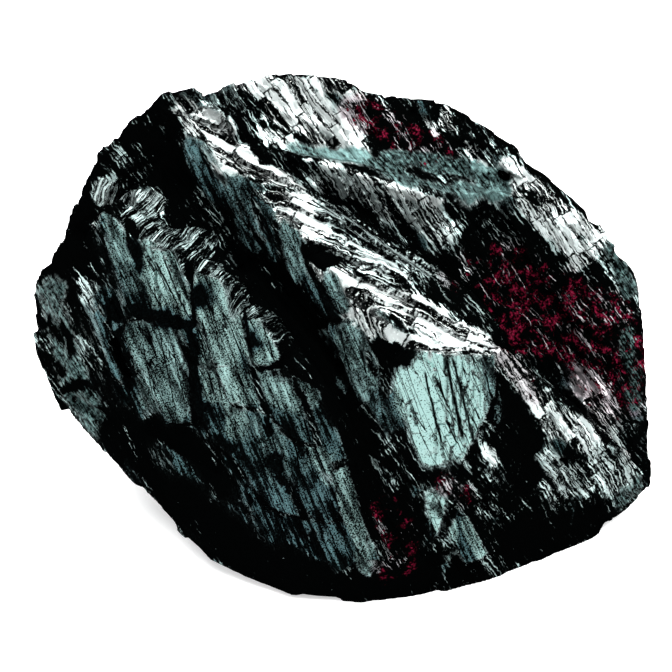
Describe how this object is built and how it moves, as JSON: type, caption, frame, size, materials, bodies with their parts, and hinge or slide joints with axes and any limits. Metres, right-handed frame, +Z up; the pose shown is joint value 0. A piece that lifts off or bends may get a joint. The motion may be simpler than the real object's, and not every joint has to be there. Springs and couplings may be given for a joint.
{
  "type": "hematite",
  "caption": "Hand-sized lump of dark grey hematite with flat parting faces, a broken splintery ridge and red-brown earthy patches.",
  "frame": {"origin": "centre of the bounding box, at the flat underside the stone rests on", "axes": "+X to the right and +Z up as seen from the front, with the grooved parting faces at the front (-Y)"},
  "size_m": [0.0712, 0.0506, 0.0473],
  "materials": {
    "hematite": "satin"
  },
  "bodies": {
    "root": {"hematite": "hematite"}
  },
  "joints": []
}
